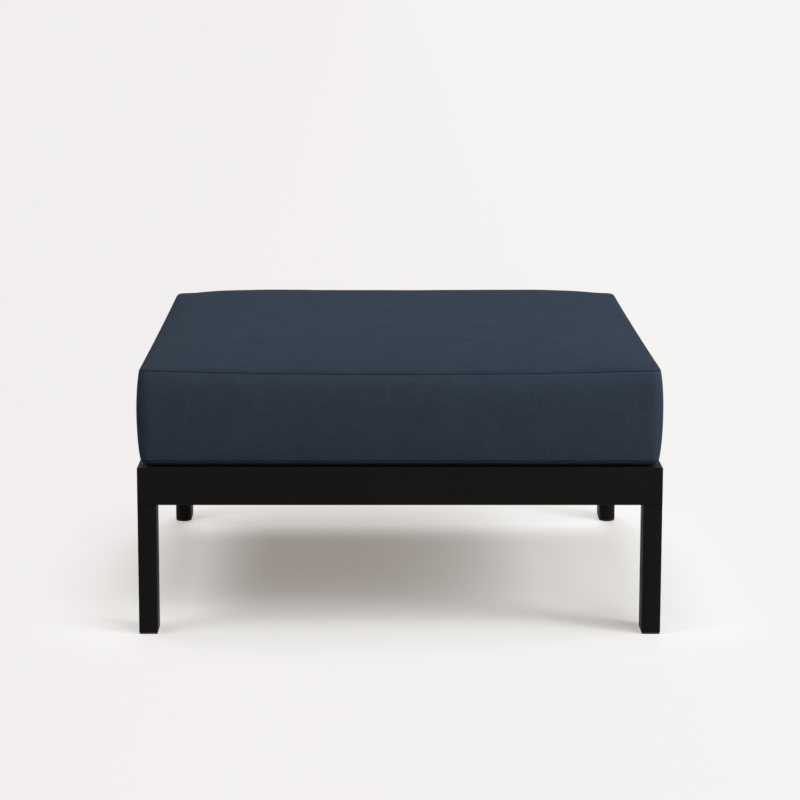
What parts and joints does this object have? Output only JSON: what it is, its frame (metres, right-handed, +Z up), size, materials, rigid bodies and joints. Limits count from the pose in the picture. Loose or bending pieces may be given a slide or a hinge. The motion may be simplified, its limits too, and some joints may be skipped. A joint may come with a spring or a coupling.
{
  "type": "outdoor ottoman footstool",
  "caption": "Low outdoor ottoman: a loose boxed cushion with a zipped cover on a welded metal seat frame with flat-faced, round-backed legs.",
  "frame": {"origin": "on the floor under the middle of the seat frame", "axes": "+Z up, +X to the right and -Y towards a viewer in front of the stool; the cover's zip is at +Y"},
  "size_m": [0.8422, 0.8464, 0.4575],
  "materials": {
    "frame_coat": "matte",
    "glide_plastic": "matte",
    "cover_fabric": "matte",
    "zip_tape": "matte",
    "zip_metal": "satin",
    "wadding": "matte",
    "foam": "matte"
  },
  "bodies": {
    "frame": {"front_rail": "frame_coat", "right_rail": "frame_coat", "rear_rail": "frame_coat", "left_rail": "frame_coat", "front_left_leg": "frame_coat", "front_right_leg": "frame_coat", "rear_left_leg": "frame_coat", "rear_right_leg": "frame_coat", "front_left_glide": "glide_plastic", "front_right_glide": "glide_plastic", "rear_left_glide": "glide_plastic", "rear_right_glide": "glide_plastic", "seat_slat_1": "frame_coat", "seat_slat_2": "frame_coat", "seat_slat_3": "frame_coat", "seat_slat_4": "frame_coat", "seat_slat_5": "frame_coat", "seat_slat_6": "frame_coat", "seat_slat_7": "frame_coat"},
    "cushion": {"cover_top_panel": "cover_fabric", "cover_boxing": "cover_fabric", "cover_zip_strip_upper": "cover_fabric", "cover_zip_strip_lower": "cover_fabric", "cover_bottom_panel": "cover_fabric", "wadding_top": "wadding", "wadding_bottom": "wadding", "foam_core": "foam", "zip_tape_upper": "zip_tape", "zip_tape_lower": "zip_tape", "zip_stop_closed_upper": "zip_metal", "zip_stop_closed_lower": "zip_metal", "zip_stop_open_upper": "zip_metal", "zip_stop_open_lower": "zip_metal"},
    "slider": {"zip_slider": "zip_metal"},
    "pull": {"zip_pull": "zip_metal"}
  },
  "joints": [
    {"name": "cushion_lift", "type": "slide", "parent": "frame", "child": "cushion", "axis": [0, 0, 1], "range_m": [0, 0.25]},
    {"name": "zip_travel", "type": "slide", "parent": "cushion", "child": "slider", "axis": [-1, 0, 0], "range_m": [0, 0.75]},
    {"name": "zip_pull_swing", "type": "hinge", "parent": "slider", "child": "pull", "pos_m": [0.375, 0.42305, 0.35575], "axis": [0, 0, -1], "range_deg": [0, 170]}
  ]
}
